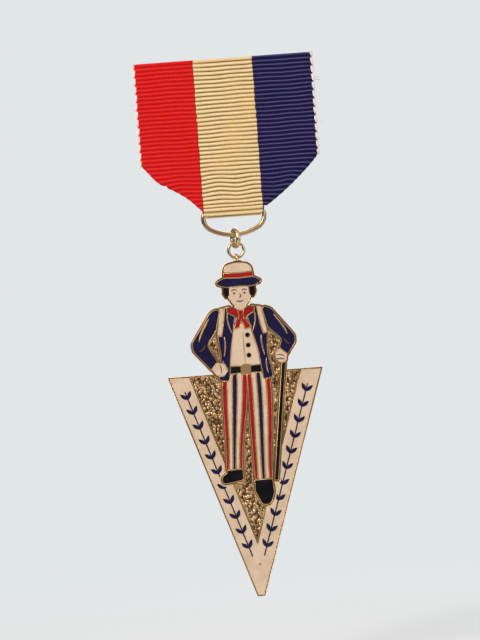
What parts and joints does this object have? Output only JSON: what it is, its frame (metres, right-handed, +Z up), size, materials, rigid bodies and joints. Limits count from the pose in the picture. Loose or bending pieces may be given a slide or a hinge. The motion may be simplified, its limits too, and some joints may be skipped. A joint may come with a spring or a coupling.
{
  "type": "finisher medal",
  "caption": "Enamelled finisher medal: a struck brass V-shaped pendant with a walking figure hangs by rings from a folded striped ribbon that has a bar pin on its back.",
  "frame": {"origin": "middle of the pin needle's bare cylindrical stretch, on its axis, behind the ribbon's top", "axes": "+X to the viewer's right and towards the needle's point, +Y to the back, towards the wearer, +Z up; the medal hangs as worn and its front faces -Y"},
  "size_m": [0.035, 0.007, 0.1061],
  "materials": {
    "ribbon_grosgrain": "ribbed grosgrain with three equal stripes, red, cream and navy",
    "pin_steel": "nickel-plated steel, satin",
    "ring_brass": "gilt wire, polished, lightly worn",
    "struck_brass": "gilt die-struck metal, pebbled in the open field",
    "enamel_cream": "gloss hard enamel, cream",
    "enamel_navy": "gloss hard enamel, navy",
    "enamel_red": "gloss hard enamel, red",
    "enamel_black": "gloss hard enamel, black"
  },
  "bodies": {
    "ribbon_and_bar": {"ribbon": "ribbon_grosgrain", "bar_plate": "pin_steel", "hinge_rivet": "pin_steel", "catch_housing": "pin_steel"},
    "needle": {"pin_needle": "pin_steel"},
    "lock": {"catch_barrel": "pin_steel"},
    "dee": {"d_ring": "ring_brass"},
    "link": {"link_ring": "ring_brass"},
    "jump": {"jump_ring": "ring_brass"},
    "pendant": {"eyelet": "ring_brass", "medal_plate": "struck_brass", "band_enamel": "enamel_cream", "laurel_enamel": "enamel_navy", "hat_crown_enamel": "enamel_cream", "hat_band_enamel": "enamel_red", "hat_brim_enamel": "enamel_navy", "hair_enamel": "enamel_black", "face_enamel": "enamel_cream", "kerchief_enamel": "enamel_red", "shirt_enamel": "enamel_cream", "button_enamel": "enamel_black", "jacket_enamel": "enamel_navy", "strap_enamel": "enamel_cream", "hand_enamel": "enamel_cream", "belt_enamel": "enamel_black", "trouser_red_enamel": "enamel_red", "trouser_white_enamel": "enamel_cream", "trouser_navy_enamel": "enamel_navy", "shoe_enamel": "enamel_black", "stick_enamel": "enamel_black"}
  },
  "joints": [
    {"name": "needle_hinge", "type": "hinge", "parent": "ribbon_and_bar", "child": "needle", "pos_m": [-0.0118, 0, 0], "axis": [0, 0, 1], "range_deg": [0, 75]},
    {"name": "lock_turn", "type": "hinge", "parent": "ribbon_and_bar", "child": "lock", "pos_m": [0.0123, 0, 0], "axis": [1, 0, 0], "range_deg": [0, 120]},
    {"name": "dring_swing", "type": "hinge", "parent": "ribbon_and_bar", "child": "dee", "pos_m": [0, -0.0034, -0.02585], "axis": [-1, 0, 0], "range_deg": [-60, 60]},
    {"name": "link_swing", "type": "hinge", "parent": "dee", "child": "link", "pos_m": [0, -0.0034, -0.03045], "axis": [-1, 0, 0], "range_deg": [-45, 45]},
    {"name": "jump_swing", "type": "hinge", "parent": "link", "child": "jump", "pos_m": [0, -0.0034, -0.0328], "axis": [0, 1, 0], "range_deg": [-30, 30]},
    {"name": "pendant_swing", "type": "hinge", "parent": "jump", "child": "pendant", "pos_m": [0, -0.0034, -0.035], "axis": [-1, 0, 0], "range_deg": [-45, 45]}
  ]
}
